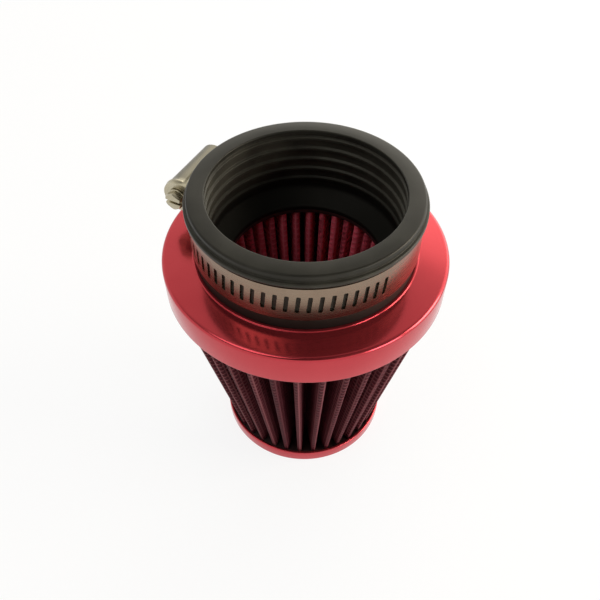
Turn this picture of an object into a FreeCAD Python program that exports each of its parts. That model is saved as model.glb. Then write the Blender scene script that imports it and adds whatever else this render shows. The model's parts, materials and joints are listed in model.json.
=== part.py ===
"""Clamp-on conical air filter: pleated cone, pressed ends, rubber neck and hose clamp.

Millimetres. The origin is the centre of the end cap's underside and +Z runs up the
filter's axis to the inlet. Seen from the front, -Y is near and +X is to the right.
"""
import FreeCAD, Part
import math
import os

Vec = FreeCAD.Vector
UP = Vec(0, 0, 1)

# End cap: pressed aluminium cup at the small end
CAP_R = 24.5
CAP_SHEET = 0.8
CAP_RIM_H = 4.0
CAP_EDGE_R = 0.5

# Collar: pressed aluminium ring at the large end
COLLAR_R = 36.6
COLLAR_SHEET = 0.8
COLLAR_EDGE_R = 1.0
SKIRT_H = 8.7
HOLE_LIP_H = 0.3  # turned-up edge of the hole that the neck comes through
HOLE_LIP_FOOT_R = 0.15
EDGE_BREAK = 0.3  # rounding of a sheet's cut edge

# Pleated cone, measured at its large end
PLEATS = 35
PLEAT_H = 58.7
PLEAT_DEPTH = 15.3
PLEAT_CLEAR = 0.3  # from the folds to the skirt and to the cap's rim
SCREEN_T = 0.2
GAUZE_T = 0.4
RIDGE_BEND_R = 0.15  # inside radius of an outer fold
VALLEY_BEND_R = 0.15  # inside radius of an inner fold
FOLD_FACETS = 3
FIRST_RIDGE_DEG = -92.6

# Potting that closes the pleat ends
LOWER_SEAL_T = 2.0
UPPER_SEAL_T = 1.3

# Rubber neck
BORE_R = 24.0  # over the sealing ribs, for a 48 mm spigot
NECK_WALL = 4.0  # from the ribs' crests to the clamp's seat
THROAT_R = 20.0
THROAT_LAND = 1.0
SHOULDER_H = 3.6
SHOULDER_ROUND = 1.5
FLANGE_T = 4.4
FLANGE_CLEAR = 0.1
FOOT_H = 3.2  # bare rubber between the collar and the clamp's housing
LIP_H = 3.1
LIP_OUT = 1.2  # how far the lip stands out from the seat
LIP_LEDGE_H = 1.2
LIP_LEDGE_W = 0.8
LIP_ROUND = 0.55
LIP_SOFT_R = 0.35
MOUTH_LAND = 1.0
MOUTH_ROUND = 0.3
RIB_COUNT = 5
RIB_PITCH = 3.2
RIB_H = 0.6
RIB_CREST = 0.6
RIB_BASE = 1.3
FIRST_RIB_DEPTH = 2.6

# Hose clamp, laid out with its housing on +X and then turned to its place
CLAMP_DEG = 154.0
BAND_W = 10.0
BAND_T = 0.55
BAND_LAP = 0.02  # between the two layers under the screw
PLAIN_END_DEG = 17.0
RAMP_TOP_DEG = 19.0
RAMP_FOOT_DEG = 41.0
TAIL_DEG = -39.0
FIRST_SLOT_DEG = 154.6
TAIL_MARGIN_DEG = 4.0
SLOT_PITCH = 2.6
SLOT_W = 1.0
SLOT_L = 5.1
SLOT_CORNER_R = 0.3
SLOT_TILT_DEG = 5.5

HOUSING_T = 0.8
HOUSING_GAP = 0.1  # from the housing to the lip, the band's tail and the seat
SADDLE_REAR = 12.5
SADDLE_CORNER_R = 2.0
ARCH_REAR = 10.8
HOUSING_FRONT = 7.5
BEARING_L = 2.4
BULGE = 0.25  # how far the bearing stands out from the arch
BULGE_ROUND = 1.1

WORM_R = 3.25
WORM_TAIL = 9.6
WORM_TAIL_CHAMFER = 0.6
WORM_BAND_GAP = 0.1
WORM_GAP = 0.15
JOURNAL_R = 1.9
JOURNAL_GAP = 0.05
THRUST_GAP = 0.1
FLANGE_R = 2.5
SCREW_FLANGE_T = 0.4
HEX_FLATS = 4.2
HEX_H = 1.9
HEX_CHAMFER = 0.4
DRIVE_SLOT_W = 0.8
DRIVE_SLOT_D = 1.0

# Heights up the stack
Z_PACK = CAP_SHEET + LOWER_SEAL_T
Z_PACK_TOP = Z_PACK + PLEAT_H
Z_NECK = Z_PACK_TOP + UPPER_SEAL_T
Z_COLLAR_UNDER = Z_NECK + FLANGE_T
Z_COLLAR = Z_COLLAR_UNDER + COLLAR_SHEET
HOUSING_HALF_W = BAND_W / 2 + HOUSING_T
Z_CLAMP = Z_COLLAR + FOOT_H + HOUSING_HALF_W
Z_LIP = Z_CLAMP + HOUSING_HALF_W + HOUSING_GAP
Z_TOP = Z_LIP + LIP_H

# Radii shared by pieces that meet
CAP_INNER_R = CAP_R - CAP_SHEET
SKIRT_INNER_R = COLLAR_R - COLLAR_SHEET
NECK_FLANGE_R = SKIRT_INNER_R - FLANGE_CLEAR
SEAT_R = BORE_R + NECK_WALL
LAP_R = SEAT_R + BAND_T + BAND_LAP
TAIL_OUTER_R = LAP_R + BAND_T
SCREW_X = TAIL_OUTER_R + WORM_BAND_GAP + WORM_R
PACK_T = 2 * SCREEN_T + GAUZE_T


def closed_wire(corners, place):
    """Closed wire through flat corners (u, v) or (u, v, radius), set in space by place(u, v)."""
    count = len(corners)
    cut_in, cut_out, edges = [], [], []
    for i, corner in enumerate(corners):
        here = Vec(corner[0], corner[1], 0)
        radius = corner[2] if len(corner) > 2 else 0.0
        if radius == 0.0:
            cut_in.append(here)
            cut_out.append(here)
            continue
        back = (Vec(*corners[i - 1][:2], 0) - here).normalize()
        ahead = (Vec(*corners[(i + 1) % count][:2], 0) - here).normalize()
        half = back.getAngle(ahead) / 2
        reach = radius / math.tan(half)
        middle = here + (back + ahead).normalize() * (radius / math.sin(half) - radius)
        cut_in.append(here + back * reach)
        cut_out.append(here + ahead * reach)
        ends = [place(p.x, p.y) for p in (cut_in[-1], middle, cut_out[-1])]
        edges.append(Part.Arc(*ends).toShape())
    for i in range(count):
        start, end = cut_out[i - 1], cut_in[i]
        if start.distanceToPoint(end) > 1e-6:
            edges.append(Part.LineSegment(place(start.x, start.y), place(end.x, end.y)).toShape())
    return Part.Wire(Part.__sortEdges__(edges))


def turned(corners):
    """Solid turned about Z from an (r, z) outline."""
    face = Part.Face(closed_wire(corners, lambda r, z: Vec(r, 0, z)))
    return face.revolve(Vec(), UP, 360)


def sheet_edge(thickness):
    """Rounding of a cut edge, kept inside the sheet."""
    return min(EDGE_BREAK, 0.45 * thickness)


def end_cap():
    rim = sheet_edge(CAP_SHEET)
    return turned([
        (0, 0),
        (CAP_R, 0, CAP_EDGE_R),
        (CAP_R, CAP_RIM_H, rim),
        (CAP_INNER_R, CAP_RIM_H, rim),
        (CAP_INNER_R, CAP_SHEET),
        (0, CAP_SHEET),
    ])


def collar():
    rim = sheet_edge(COLLAR_SHEET)
    lip_r = SEAT_R + COLLAR_SHEET
    lip_round = min(rim, 0.5 * HOLE_LIP_H)
    z_lip = Z_COLLAR + HOLE_LIP_H
    z_skirt = Z_COLLAR - SKIRT_H
    return turned([
        (SEAT_R, Z_COLLAR_UNDER),
        (SKIRT_INNER_R, Z_COLLAR_UNDER),
        (SKIRT_INNER_R, z_skirt, rim),
        (COLLAR_R, z_skirt, rim),
        (COLLAR_R, Z_COLLAR, COLLAR_EDGE_R),
        (lip_r, Z_COLLAR, min(HOLE_LIP_FOOT_R, 0.45 * HOLE_LIP_H)),
        (lip_r, z_lip, lip_round),
        (SEAT_R, z_lip, lip_round),
    ])


def lower_seal():
    return Part.makeCylinder(CAP_INNER_R, LOWER_SEAL_T, Vec(0, 0, CAP_SHEET))


def upper_seal():
    return turned([
        (THROAT_R, Z_PACK_TOP),
        (NECK_FLANGE_R, Z_PACK_TOP),
        (NECK_FLANGE_R, Z_NECK),
        (THROAT_R, Z_NECK),
    ])


def inlet_neck():
    wall_r = BORE_R + RIB_H
    lip_r = SEAT_R + LIP_OUT
    rib_slope = (RIB_BASE - RIB_CREST) / 2
    z_land = Z_TOP - MOUTH_LAND
    z_throat = Z_NECK + THROAT_LAND
    outline = [
        (THROAT_R, Z_NECK),
        (NECK_FLANGE_R, Z_NECK),
        (NECK_FLANGE_R, Z_COLLAR_UNDER),
        (SEAT_R, Z_COLLAR_UNDER),
        (SEAT_R, Z_LIP),
        (lip_r, Z_LIP, LIP_SOFT_R),
        (lip_r, Z_LIP + LIP_LEDGE_H, LIP_SOFT_R),
        (lip_r - LIP_LEDGE_W, Z_LIP + LIP_LEDGE_H),
        (lip_r - LIP_LEDGE_W, Z_TOP, LIP_ROUND),
        (BORE_R, Z_TOP, MOUTH_ROUND),
        (BORE_R, z_land),
        (wall_r, z_land - rib_slope),
    ]
    for i in range(RIB_COUNT):
        z_rib = Z_TOP - FIRST_RIB_DEPTH - i * RIB_PITCH
        outline += [
            (wall_r, z_rib + RIB_BASE / 2),
            (BORE_R, z_rib + RIB_CREST / 2),
            (BORE_R, z_rib - RIB_CREST / 2),
            (wall_r, z_rib - RIB_BASE / 2),
        ]
    outline += [
        (wall_r, z_throat + SHOULDER_H, SHOULDER_ROUND),
        (THROAT_R, z_throat, THROAT_LAND / 2),
    ]
    return turned(outline)


def cone_radii():
    """Ridge radius at both ends of the pleats, set by the skirt and the cap's rim."""
    top = SKIRT_INNER_R - PLEAT_CLEAR
    at_rim = CAP_INNER_R - PLEAT_CLEAR
    slope = (top - at_rim) / (Z_PACK_TOP - CAP_RIM_H)
    return top, at_rim - slope * (CAP_RIM_H - Z_PACK)


def pleat_outline(inset):
    """Corners, at the large end, of the pleat surface that lies inset below the outer face."""
    top_r = cone_radii()[0]
    ridge_r = RIDGE_BEND_R + PACK_T - inset
    valley_r = VALLEY_BEND_R + inset
    ridge_centre = top_r - RIDGE_BEND_R - PACK_T
    valley_centre = top_r - PLEAT_DEPTH + VALLEY_BEND_R + PACK_T
    half_pitch = math.pi / PLEATS
    valley = (valley_centre * math.cos(half_pitch), valley_centre * math.sin(half_pitch))
    run = math.hypot(ridge_centre - valley[0], valley[1])
    lean = math.atan2(valley[1], ridge_centre - valley[0]) - math.asin((ridge_r + valley_r) / run)
    corners = []
    for pleat in range(PLEATS):
        turn = math.radians(FIRST_RIDGE_DEG) + 2 * half_pitch * pleat
        for step in range(FOLD_FACETS + 1):
            angle = (2 * step / FOLD_FACETS - 1) * (math.pi / 2 - lean)
            corners.append(turned_point(ridge_centre, 0, ridge_r, angle, turn))
        for step in range(FOLD_FACETS + 1):
            angle = math.pi + half_pitch
            angle += (1 - 2 * step / FOLD_FACETS) * (math.pi / 2 - lean - half_pitch)
            corners.append(turned_point(*valley, valley_r, angle, turn))
    return corners


def turned_point(x, y, radius, angle, turn):
    """Point at radius and angle about (x, y), then turned about the axis."""
    x += radius * math.cos(angle)
    y += radius * math.sin(angle)
    return (x * math.cos(turn) - y * math.sin(turn), x * math.sin(turn) + y * math.cos(turn))


def pleat_ends(inset):
    """Corners of one pleat surface at its small and large ends, alike but for their size."""
    top_r, bottom_r = cone_radii()
    corners = pleat_outline(inset)
    shrink = bottom_r / top_r
    small = [Vec(x * shrink, y * shrink, Z_PACK) for x, y in corners]
    large = [Vec(x, y, Z_PACK_TOP) for x, y in corners]
    return small, large


def pleat_layer(inset, thickness):
    """One folded layer: flat facets inside and out, drawn in to one apex, and two ring ends."""
    outer, inner = pleat_ends(inset), pleat_ends(inset + thickness)
    faces = []
    for small, large in (outer, inner):
        for i in range(len(small)):
            facet = [small[i - 1], small[i], large[i], large[i - 1], small[i - 1]]
            faces.append(Part.Face(Part.makePolygon(facet)))
    for outside, inside in zip(outer, inner):
        rings = [Part.makePolygon(ring + ring[:1]) for ring in (outside, inside)]
        faces += Part.makeFace(rings, "Part::FaceMakerBullseye").Faces
    shell = Part.makeShell(faces)
    shell.sewShape()
    return Part.Solid(shell)


def polar(radius, degrees):
    return Vec(radius * math.cos(math.radians(degrees)), radius * math.sin(math.radians(degrees)), 0)


def bend(start_r, start_deg, end_r, end_deg):
    """Arc about the axis, with its radius easing from start to end."""
    middle = polar((start_r + end_r) / 2, (start_deg + end_deg) / 2)
    return Part.Arc(polar(start_r, start_deg), middle, polar(end_r, end_deg)).toShape()


def band_edge(offset):
    """One long edge of the band: round the seat, up the ramp and over its plain end."""
    return [
        bend(SEAT_R + offset, PLAIN_END_DEG, SEAT_R + offset, RAMP_FOOT_DEG - 360),
        bend(SEAT_R + offset, RAMP_FOOT_DEG - 360, LAP_R + offset, RAMP_TOP_DEG - 360),
        bend(LAP_R + offset, RAMP_TOP_DEG - 360, LAP_R + offset, TAIL_DEG - 360),
    ]


def band_slot(degrees):
    """Cutter for one slot; over the lap it leaves the plain layer whole."""
    inner_r = LAP_R - BAND_LAP / 2 if degrees < RAMP_TOP_DEG else SEAT_R - BAND_T
    half_w, half_l, corner = SLOT_W / 2, SLOT_L / 2, SLOT_CORNER_R
    wire = closed_wire([
        (-half_w, -half_l, corner),
        (half_w, -half_l, corner),
        (half_w, half_l, corner),
        (-half_w, half_l, corner),
    ], lambda y, z: Vec(inner_r, y, z))
    cutter = Part.Face(wire).extrude(Vec(TAIL_OUTER_R + BAND_T - inner_r, 0, 0))
    cutter.rotate(Vec(), Vec(1, 0, 0), -SLOT_TILT_DEG)
    cutter.rotate(Vec(), UP, degrees)
    cutter.translate(UP * Z_CLAMP)
    return cutter


def clamp_band():
    ends = [
        Part.LineSegment(polar(SEAT_R, PLAIN_END_DEG), polar(SEAT_R + BAND_T, PLAIN_END_DEG)),
        Part.LineSegment(polar(LAP_R, TAIL_DEG), polar(TAIL_OUTER_R, TAIL_DEG)),
    ]
    edges = band_edge(0) + band_edge(BAND_T) + [end.toShape() for end in ends]
    face = Part.Face(Part.Wire(Part.__sortEdges__(edges)))
    face.translate(UP * (Z_CLAMP - BAND_W / 2))
    strip = face.extrude(UP * BAND_W)
    pitch_deg = math.degrees(SLOT_PITCH / (SEAT_R + BAND_T))
    slots = int((FIRST_SLOT_DEG - TAIL_DEG - TAIL_MARGIN_DEG) / pitch_deg) + 1
    cutters = [band_slot(FIRST_SLOT_DEG - i * pitch_deg) for i in range(slots)]
    return strip.cut(cutters)


def along_screw(radius, start, end):
    """Cylinder on the screw's line, which runs along Y."""
    return Part.makeCylinder(radius, end - start, Vec(SCREW_X, start, Z_CLAMP), Vec(0, 1, 0))


def upright(radius, half_height):
    """Cylinder on the filter's axis, centred on the clamp."""
    return Part.makeCylinder(radius, 2 * half_height, UP * (Z_CLAMP - half_height))


def clamp_housing():
    """Saddle bent round the band, with an arch over the worm and a bearing for its journal."""
    worm_room = WORM_R + WORM_GAP
    arch_r = worm_room + HOUSING_T
    passage_r = TAIL_OUTER_R + HOUSING_GAP
    worm_end = HOUSING_FRONT - BEARING_L
    saddle = Part.Face(closed_wire([
        (-SADDLE_REAR, -HOUSING_HALF_W, SADDLE_CORNER_R),
        (HOUSING_FRONT, -HOUSING_HALF_W),
        (HOUSING_FRONT, HOUSING_HALF_W),
        (-SADDLE_REAR, HOUSING_HALF_W, SADDLE_CORNER_R),
    ], lambda y, z: Vec(0, y, Z_CLAMP + z))).extrude(Vec(SCREW_X, 0, 0))
    saddle = saddle.common(upright(passage_r + HOUSING_T, HOUSING_HALF_W))
    walls = Part.makeBox(SCREW_X, ARCH_REAR + HOUSING_FRONT, 2 * arch_r,
                         Vec(0, -ARCH_REAR, Z_CLAMP - arch_r))
    arch = along_screw(arch_r, -ARCH_REAR, HOUSING_FRONT)
    bearing = along_screw(arch_r + BULGE, worm_end, HOUSING_FRONT)
    bearing = bearing.makeFillet(BULGE_ROUND, [e for e in bearing.Edges if e.Closed])
    body = saddle.fuse([walls, arch, bearing])

    # The band's passage, the room under the feet, the worm's room and the journal's bore
    worm_slot = Part.makeBox(SCREW_X, ARCH_REAR + worm_end, 2 * worm_room,
                             Vec(0, -ARCH_REAR, Z_CLAMP - worm_room))
    return body.cut([
        upright(passage_r, BAND_W / 2),
        upright(SEAT_R + HOUSING_GAP, 2 * HOUSING_HALF_W),
        worm_slot,
        along_screw(worm_room, -ARCH_REAR, worm_end),
        along_screw(JOURNAL_R + JOURNAL_GAP, -ARCH_REAR, 2 * HOUSING_FRONT),
    ]).removeSplitter()


def clamp_screw():
    worm_front = HOUSING_FRONT - BEARING_L - THRUST_GAP
    flange_back = HOUSING_FRONT + THRUST_GAP
    head_back = flange_back + SCREW_FLANGE_T
    head_front = head_back + HEX_H
    worm = along_screw(WORM_R, -WORM_TAIL, worm_front)
    tail_edge = min((e for e in worm.Edges if e.Closed), key=lambda e: e.CenterOfMass.y)
    worm = worm.makeChamfer(WORM_TAIL_CHAMFER, [tail_edge])
    journal = along_screw(JOURNAL_R, worm_front, flange_back)
    flange = along_screw(FLANGE_R, flange_back, head_back)

    corner_r = HEX_FLATS / 2 / math.cos(math.pi / 6)
    corners = [polar(corner_r, 60 * i) for i in range(7)]
    hexagon = Part.makePolygon([Vec(SCREW_X + p.x, head_back, Z_CLAMP + p.y) for p in corners])
    head = Part.Face(hexagon).extrude(Vec(0, HEX_H, 0))
    crown = along_screw(corner_r, head_back, head_front)
    front_edge = max((e for e in crown.Edges if e.Closed), key=lambda e: e.CenterOfMass.y)
    head = head.common(crown.makeChamfer(HEX_CHAMFER, [front_edge]))
    slot = Part.makeBox(2 * FLANGE_R, DRIVE_SLOT_D, DRIVE_SLOT_W,
                        Vec(SCREW_X - FLANGE_R, head_front - DRIVE_SLOT_D, Z_CLAMP - DRIVE_SLOT_W / 2))
    return worm.fuse([journal, flange, head.cut(slot)]).removeSplitter()


def at_clamp(shape):
    """Turn a piece of the clamp from +X to its place round the neck."""
    shape.rotate(Vec(), UP, CLAMP_DEG)
    return shape


def build():
    return {
        "end_cap": end_cap(),
        "lower_seal": lower_seal(),
        "outer_screen": pleat_layer(0.0, SCREEN_T),
        "gauze_pleats": pleat_layer(SCREEN_T, GAUZE_T),
        "inner_screen": pleat_layer(SCREEN_T + GAUZE_T, SCREEN_T),
        "upper_seal": upper_seal(),
        "collar": collar(),
        "inlet_neck": inlet_neck(),
        "clamp_band": at_clamp(clamp_band()),
        "clamp_housing": at_clamp(clamp_housing()),
        "clamp_screw": at_clamp(clamp_screw()),
    }


os.makedirs("parts", exist_ok=True)
for name, shape in build().items():
    shape.exportStep(os.path.join("parts", name + ".step"))
    print(f"{name}: {len(shape.Solids)} solid, valid {shape.isValid()}, {shape.Volume:.1f} mm3")
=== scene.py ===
"""Looks of a clamp-on conical air filter: pleats, red metal ends, rubber neck, hose clamp."""
import json
import math
import random

import bpy
from mathutils import Matrix, Vector


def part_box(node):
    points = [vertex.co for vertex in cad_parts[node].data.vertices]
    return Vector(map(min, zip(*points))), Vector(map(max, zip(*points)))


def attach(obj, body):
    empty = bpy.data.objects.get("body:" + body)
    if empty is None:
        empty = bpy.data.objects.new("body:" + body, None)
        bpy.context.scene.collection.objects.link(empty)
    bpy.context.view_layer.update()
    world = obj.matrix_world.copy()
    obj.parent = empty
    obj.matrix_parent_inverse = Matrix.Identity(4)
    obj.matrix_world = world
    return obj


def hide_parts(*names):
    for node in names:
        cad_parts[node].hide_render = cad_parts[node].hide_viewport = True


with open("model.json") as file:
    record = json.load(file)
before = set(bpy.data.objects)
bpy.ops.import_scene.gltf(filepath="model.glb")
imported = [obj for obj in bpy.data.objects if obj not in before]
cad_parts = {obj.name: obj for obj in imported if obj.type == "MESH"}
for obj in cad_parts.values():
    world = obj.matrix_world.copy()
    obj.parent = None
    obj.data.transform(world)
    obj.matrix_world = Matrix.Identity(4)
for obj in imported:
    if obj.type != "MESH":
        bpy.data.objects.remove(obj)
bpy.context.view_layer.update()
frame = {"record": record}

MM = 0.001
UP = Vector((0, 0, 1))


def node_mm(node):
    """Lowest and highest corner of a CAD node in millimetres."""
    low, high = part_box(node)
    return low / MM, high / MM


# Sizes in millimetres, read from the frame where it has them
RECORD = frame["record"]
MOUNT = {mount["name"]: mount for mount in RECORD["mounts"]}
SCREW_JOINT = RECORD["behaviour"]["joints"][0]

CAP_R = node_mm("end_cap")[1].x
CAP_RIM_Z = node_mm("end_cap")[1].z
CAP_SHEET = node_mm("lower_seal")[0].z
CAP_EDGE_R = 0.5
SHEET_EDGE_R = 0.3

COLLAR_R = node_mm("collar")[1].x
SKIRT_Z = node_mm("collar")[0].z
HOLE_LIP_Z = node_mm("collar")[1].z
HOLE_LIP_H = 0.3
HOLE_LIP_FILLET = 0.45 * HOLE_LIP_H
HOLE_LIP_ROUND = 0.5 * HOLE_LIP_H
COLLAR_SHEET = 0.8
COLLAR_EDGE_R = 1.0
COLLAR_Z = HOLE_LIP_Z - HOLE_LIP_H
COLLAR_UNDER_Z = COLLAR_Z - COLLAR_SHEET

BORE_R = MOUNT["inlet"]["dims"]["r_mm"]
NECK_Z = node_mm("inlet_neck")[0].z
TOP_Z = node_mm("inlet_neck")[1].z
NECK_FLANGE_R = node_mm("inlet_neck")[1].x
NECK_WALL = 4.0
SEAT_R = BORE_R + NECK_WALL
LIP_OUT = 1.2
LIP_H = 3.1
LIP_ROUND = 0.55
LIP_SOFT_R = 0.35
LIP_R = SEAT_R + LIP_OUT
LIP_Z = TOP_Z - LIP_H
LEDGE_H = 1.2
LEDGE_W = 0.8
LEDGE_Z = LIP_Z + LEDGE_H
THROAT_R = 20.0
THROAT_LAND = 1.0
SHOULDER_H = 3.6
SHOULDER_ROUND = 1.5
MOUTH_LAND = 1.0
MOUTH_ROUND = 0.3
RIB_COUNT = 5
RIB_H = 0.6
RIB_SOFT_R = 0.15
WALL_R = BORE_R + RIB_H
RIB_PITCH = 3.2
RIB_CREST = 0.6
RIB_BASE = 1.3
FIRST_RIB_DEPTH = 2.6

LOWER_SEAL_EDGE_R = 0.2
UPPER_SEAL_EDGE_R = 0.3

PACK_Z = node_mm("outer_screen")[0].z
PACK_TOP_Z = node_mm("outer_screen")[1].z
PLEATS = 35
PLEAT_DEPTH = 15.3
PLEAT_CLEAR = 0.3
SCREEN_T = 0.2
GAUZE_T = 0.4
PACK_T = 2 * SCREEN_T + GAUZE_T
RIDGE_BEND_R = 0.15
VALLEY_BEND_R = 0.15
FIRST_RIDGE_DEG = -92.6
RIDGE_STRAY_DEG = 0.45
VALLEY_STRAY_DEG = 0.3
FOLD_SEED = 7
PLEAT_ROWS = 14
RIDGE_STEPS = 8
FLANK_STEPS = 3
VALLEY_STEPS = 6

CLAMP_TURN = math.atan2(SCREW_JOINT["pos_m"][1], SCREW_JOINT["pos_m"][0])
SCREW_X = math.hypot(*SCREW_JOINT["pos_m"][:2]) / MM
CLAMP_Z = SCREW_JOINT["pos_m"][2] / MM
BAND_W = node_mm("clamp_band")[1].z - node_mm("clamp_band")[0].z
BAND_T = 0.55
BAND_LAP = 0.02
LAP_R = SEAT_R + BAND_T + BAND_LAP
TAIL_OUTER_R = LAP_R + BAND_T
BAND_EDGE = 0.06
BAND_STEPS = 416
# Degrees round the neck from the housing, counted down from the plain end through one full turn
PLAIN_END_DEG = 17.0
RAMP_TOP_DEG = 19.0 - 360
RAMP_FOOT_DEG = 41.0 - 360
TAIL_DEG = -39.0 - 360
FIRST_SLOT_DEG = 154.6 - 360
TAIL_MARGIN_DEG = 4.0
SLOT_PITCH = 2.6
SLOT_W = 1.0
SLOT_L = 5.1
SLOT_CORNER_R = 0.3
SLOT_TILT_DEG = 5.5

HOUSING_T = 0.8
HOUSING_GAP = 0.1
HOUSING_HALF_W = BAND_W / 2 + HOUSING_T
SADDLE_REAR = 12.5
SADDLE_CORNER_R = 2.0
ARCH_REAR = 10.8
HOUSING_FRONT = 7.5
BEARING_L = 2.4
BULGE = 0.25
BULGE_ROUND = 1.1
HOUSING_EDGE = 0.14
WORM_R = 3.25
WORM_TAIL = 9.6
WORM_GAP = 0.15
JOURNAL_R = 1.9
JOURNAL_GAP = 0.05
THRUST_GAP = 0.1
SCREW_FLANGE_R = 2.5
SCREW_FLANGE_T = 0.4
HEX_FLATS = 4.2
HEX_H = 1.9
HEX_CHAMFER = 0.4
HEX_EDGE = 0.1
CROWN_OVER = 1.02  # radius of the head's turned crown over that of its corners
DRIVE_SLOT_W = 0.8
DRIVE_SLOT_D = 1.0
THREAD_BASE = 0.75
THREAD_CREST = 0.35
THREAD_SUNK = 0.3
THREAD_INSET = 0.5

TURN_STEPS = 160
DRUM_STEPS = 72
THREAD_STEPS = 48
ROUND_STEPS = 6
LEVEL = 0.01  # ends of an edge count as level within this
MERGE = 0.001  # points closer than this are one

# Patterns, wear, and painted light and shade of the surfaces in millimetres
DYE_CLOUD = 14.0
ETCH_GRAIN = 0.5  # the real grain is finer and is drawn this coarse to show
BLOOM_CLOUD = 9.0
# Height above the collar over which the painted shade deep in the rubber's bore fades out
DEPTH_SHADE_FADE = 8.0
MOUTH_WIPED = 2.0
MOULD_GRAIN = 0.35  # the real grain is finer and is drawn this coarse to show
ROLL_LINE = 0.25  # the real lines are finer and are drawn this coarse to show
ROLL_DRAW = 0.02  # scale along the strip, which draws the lines out fifty times
ROLL_SMEAR = 7.0
ZINC_CLOUD = 3.0
ZINC_PIT = 0.4  # the real pits are finer and are drawn this coarse to show
# Run over which painted light lightens the zinc towards the screw's head
HEAD_LIGHT_RUN = 3.0
WIRE_PITCH = 1.8  # the real mesh has about 1.6 and is drawn a little coarser to show
WIRE_LEVEL = 0.8  # height of the wave, from -1 to 1, above which it is wire
THREAD_PITCH = 0.6  # the real threads are finer and are drawn this coarse to show
THREAD_LEVEL = 0.2  # the same for thread
WEAVE_SOFT = 0.25  # half the rise from gap to wire
STREAK_W = 2.2
MOTTLE_W = 1.2
PLEAT_RUN = 2 * PLEAT_DEPTH  # unfolded length of one pleat
HIGHLIGHT_PART = 0.3  # share of a flank's depth that takes the painted highlight
POTTING_RIPPLE = 5.0
POTTING_BUBBLE = 1.6
PAPER_FIBRE = 2.0


# Modelling helpers

def mm(x, y, z):
    return Vector((x, y, z)) * MM


def fresh(name):
    """Name the primitive that was just added."""
    piece = bpy.context.object
    piece.name = name
    piece.data.name = name
    return piece


def only(piece):
    bpy.ops.object.select_all(action="DESELECT")
    piece.select_set(True)
    bpy.context.view_layer.objects.active = piece


def apply_modifier(piece, kind, **settings):
    only(piece)
    modifier = piece.modifiers.new(kind.title(), kind)
    for key, value in settings.items():
        setattr(modifier, key, value)
    bpy.ops.object.modifier_apply(modifier=modifier.name)


def tidy_mesh(piece):
    """Merge doubles and turn every face outwards."""
    only(piece)
    bpy.ops.object.mode_set(mode="EDIT")
    bpy.ops.mesh.select_all(action="SELECT")
    bpy.ops.mesh.remove_doubles(threshold=MERGE * MM)
    bpy.ops.mesh.normals_make_consistent(inside=False)
    bpy.ops.object.mode_set(mode="OBJECT")


def smooth(piece, degrees=35):
    only(piece)
    bpy.ops.object.shade_smooth_by_angle(angle=math.radians(degrees))


def rounded(corners):
    """Points of a closed flat outline; a corner's third value is the radius it is rounded to."""
    points = []
    for i, corner in enumerate(corners):
        here = Vector(corner[:2])
        if len(corner) < 3:
            points.append(here)
            continue
        back = (Vector(corners[i - 1][:2]) - here).normalized()
        ahead = (Vector(corners[(i + 1) % len(corners)][:2]) - here).normalized()
        half = back.angle(ahead) / 2
        centre = here + (back + ahead).normalized() * (corner[2] / math.sin(half))
        start = here + back * (corner[2] / math.tan(half)) - centre
        end = here + ahead * (corner[2] / math.tan(half)) - centre
        sweep = math.pi - 2 * half
        for step in range(ROUND_STEPS + 1):
            part = step / ROUND_STEPS
            weights = (math.sin((1 - part) * sweep), math.sin(part * sweep))
            points.append(centre + (start * weights[0] + end * weights[1]) / math.sin(sweep))
    return points


def outline_circle(name, points):
    """A ring of edges whose corners are moved to the given points in space."""
    bpy.ops.object.select_all(action="DESELECT")
    bpy.ops.mesh.primitive_circle_add(vertices=len(points), radius=MM)
    piece = fresh(name)
    for vertex, point in zip(piece.data.vertices, points):
        vertex.co = point
    return piece


def turned(name, corners):
    """Piece spun about Z from an (r, z) outline."""
    piece = outline_circle(name, [mm(r, 0, z) for r, z in rounded(corners)])
    bpy.ops.object.mode_set(mode="EDIT")
    bpy.ops.mesh.select_all(action="SELECT")
    bpy.ops.mesh.spin(steps=TURN_STEPS, angle=2 * math.pi, center=(0, 0, 0), axis=(0, 0, 1))
    bpy.ops.object.mode_set(mode="OBJECT")
    tidy_mesh(piece)
    smooth(piece)
    return piece


def drum(name, radius, start, end, vertices=DRUM_STEPS):
    """Cylinder on the screw's line, from start to end along Y, with the clamp on +X."""
    bpy.ops.object.select_all(action="DESELECT")
    bpy.ops.mesh.primitive_cylinder_add(
        vertices=vertices, radius=radius * MM, depth=(end - start) * MM,
        location=mm(SCREW_X, (start + end) / 2, CLAMP_Z), rotation=(math.pi / 2, 0, 0))
    bpy.ops.object.transform_apply(location=True, rotation=True, scale=True)
    return fresh(name)


def upright(name, radius, half_height):
    """Cylinder on the filter's axis, centred on the clamp."""
    bpy.ops.object.select_all(action="DESELECT")
    bpy.ops.mesh.primitive_cylinder_add(vertices=TURN_STEPS, radius=radius * MM,
                                        depth=2 * half_height * MM, location=mm(0, 0, CLAMP_Z))
    bpy.ops.object.transform_apply(location=True, rotation=True, scale=True)
    return fresh(name)


def block(name, low, high):
    """Box between two corners."""
    bpy.ops.object.select_all(action="DESELECT")
    middle = [(a + b) / 2 for a, b in zip(low, high)]
    bpy.ops.mesh.primitive_cube_add(size=1, location=mm(*middle))
    piece = fresh(name)
    piece.scale = mm(*[b - a for a, b in zip(low, high)])
    bpy.ops.object.transform_apply(location=True, rotation=True, scale=True)
    return piece


def combine(piece, tools, operation):
    """Boolean the tools into a piece and remove them."""
    for tool in tools:
        apply_modifier(piece, "BOOLEAN", object=tool, operation=operation, solver="EXACT")
        bpy.data.objects.remove(tool)
    return piece


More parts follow.
